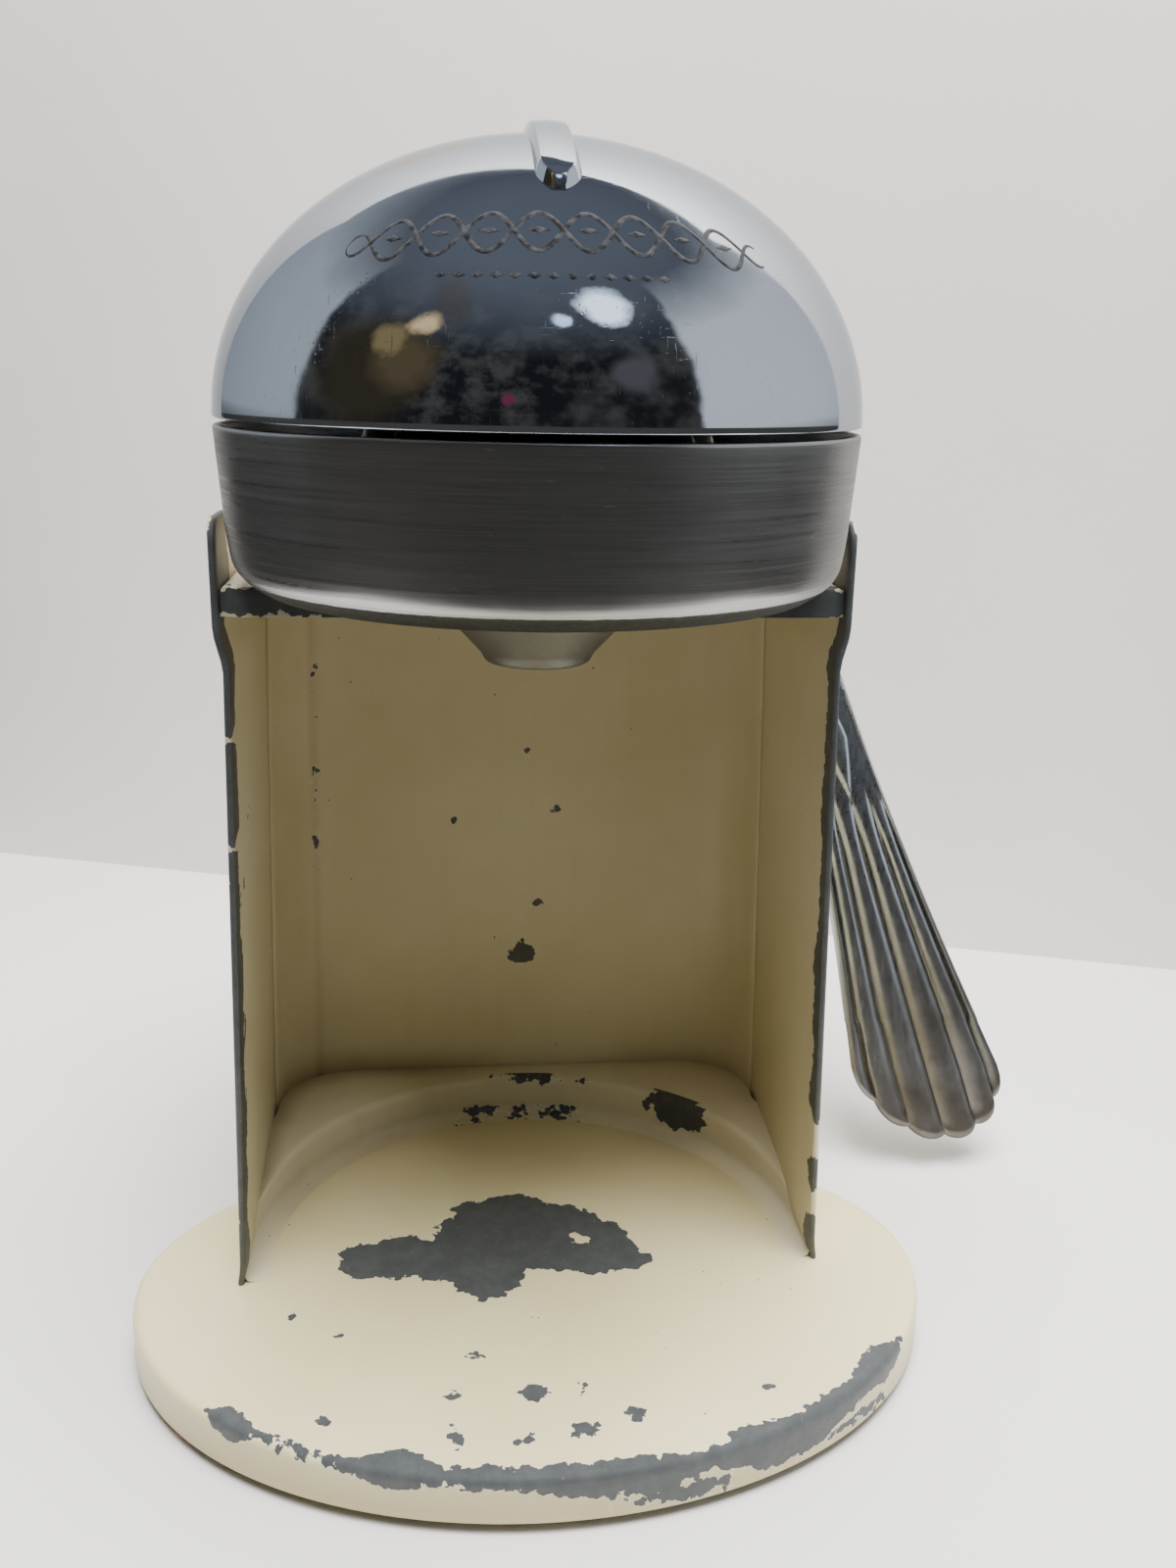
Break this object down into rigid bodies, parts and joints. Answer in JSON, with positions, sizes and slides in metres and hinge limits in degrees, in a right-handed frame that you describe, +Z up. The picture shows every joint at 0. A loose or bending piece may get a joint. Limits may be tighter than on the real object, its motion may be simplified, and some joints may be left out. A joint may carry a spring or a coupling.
{
  "type": "citrus press juicer",
  "caption": "Lever citrus press: enamelled upright with a glass bay, cup with strainer and reamer, and a chromed dome head raised by a rack and tilted back.",
  "frame": {"origin": "middle of the footprint, lever included, on the surface the press stands on", "axes": "+Z up, +Y from the open front to the back, +X towards the lever"},
  "size_m": [0.1884, 0.1538, 0.2158],
  "materials": {
    "enamel_base": "worn cream enamel with dark primer showing at chips",
    "enamel_housing": "worn cream enamel with dark primer along its edges",
    "enamel_panel": "aged cream enamel, browner towards its foot",
    "enamel_shelf": "cream enamel",
    "foot_rubber": "matt red rubber",
    "zinc_steel": "dull zinc-plated steel",
    "bush_brass": "plain turned brass",
    "cup_aluminium": "brushed satin aluminium",
    "spout_casting": "dull grey casting",
    "insert_aluminium": "satin cast aluminium",
    "dome_chrome": "bright chrome with fine pitting and scratches",
    "lever_chrome": "worn chrome, dull and brownish towards its end",
    "arm_chrome": "bright chrome"
  },
  "bodies": {
    "stand": {"base": "enamel_base", "rubber_feet": "foot_rubber", "foot_studs": "zinc_steel", "housing": "enamel_housing", "base_screws": "zinc_steel", "back_panel": "enamel_panel", "cup_shelf": "enamel_shelf", "gear_yoke": "zinc_steel", "yoke_screws": "zinc_steel", "rack_guide": "zinc_steel", "wall_bush": "bush_brass", "cup": "cup_aluminium", "cup_spout": "spout_casting", "strainer": "insert_aluminium", "reamer": "insert_aluminium", "reamer_rivet": "insert_aluminium"},
    "lever": {"handle": "lever_chrome", "lever_shaft": "zinc_steel", "pinion": "zinc_steel", "pinion_pin": "zinc_steel", "shaft_collar": "zinc_steel", "handle_washer": "zinc_steel", "handle_screw": "zinc_steel"},
    "ram": {"rack": "zinc_steel", "hinge_block": "zinc_steel", "rack_pin": "zinc_steel", "hinge_pin": "zinc_steel"},
    "head": {"dome": "dome_chrome", "head_arm": "arm_chrome", "arm_rivets": "zinc_steel", "presser": "insert_aluminium", "presser_screw": "zinc_steel"}
  },
  "joints": [
    {"name": "lever_swing", "type": "hinge", "parent": "stand", "child": "lever", "pos_m": [-0.01894, 0.0636, 0.126], "axis": [-1, 0, 0], "range_deg": [0, 150]},
    {"name": "head_lift", "type": "slide", "parent": "stand", "child": "ram", "axis": [0, 0, 1], "range_m": [0, 0.02201]},
    {"name": "head_tilt", "type": "hinge", "parent": "ram", "child": "head", "pos_m": [-0.01894, 0.0453, 0.172], "axis": [-1, 0, 0], "range_deg": [0, 55]}
  ],
  "couplings": [
    {"joint": "head_lift", "follows": "lever_swing", "m_per_rad": 0.0084}
  ]
}
